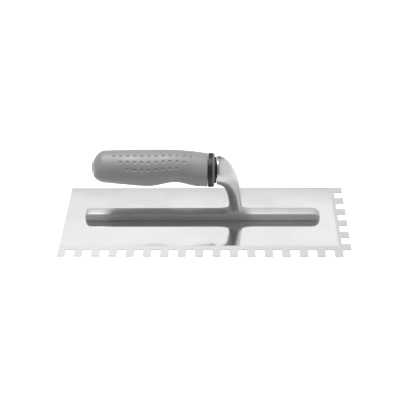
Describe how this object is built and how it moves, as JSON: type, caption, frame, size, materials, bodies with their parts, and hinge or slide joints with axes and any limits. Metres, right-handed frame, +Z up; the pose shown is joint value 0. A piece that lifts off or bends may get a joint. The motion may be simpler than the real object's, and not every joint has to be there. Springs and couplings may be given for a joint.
{
  "type": "notched trowel",
  "caption": "Rectangular steel adhesive trowel with square teeth along the front edge and one end, a cast gooseneck mounting and a straight soft-grip handle.",
  "frame": {"origin": "middle of the footprint, on the underside of the blade", "axes": "+X along the blade towards the notched end, +Y from the notched long edge to the plain one, +Z up from the blade to the handle"},
  "size_m": [0.28, 0.099, 0.0823],
  "materials": {
    "polished_steel": "mirror-polished stainless steel with faint grinding lines along the length",
    "cast_aluminium": "tumbled and lightly polished die-cast aluminium",
    "zinc_steel": "bright zinc-plated steel",
    "hard_plastic": "fine-textured moulded polypropylene, near black",
    "soft_grip": "matt thermoplastic elastomer, mid grey"
  },
  "bodies": {
    "root": {"blade": "polished_steel", "mount_casting": "cast_aluminium", "handle_core": "hard_plastic", "grip_sleeve": "soft_grip", "end_plug": "hard_plastic", "tang_stud": "zinc_steel", "tang_washer": "zinc_steel", "tang_nut": "zinc_steel", "rivet_01": "zinc_steel", "rivet_02": "zinc_steel", "rivet_03": "zinc_steel", "rivet_04": "zinc_steel", "rivet_05": "zinc_steel", "rivet_06": "zinc_steel", "rivet_07": "zinc_steel", "rivet_08": "zinc_steel", "rivet_09": "zinc_steel", "rivet_10": "zinc_steel"}
  },
  "joints": []
}
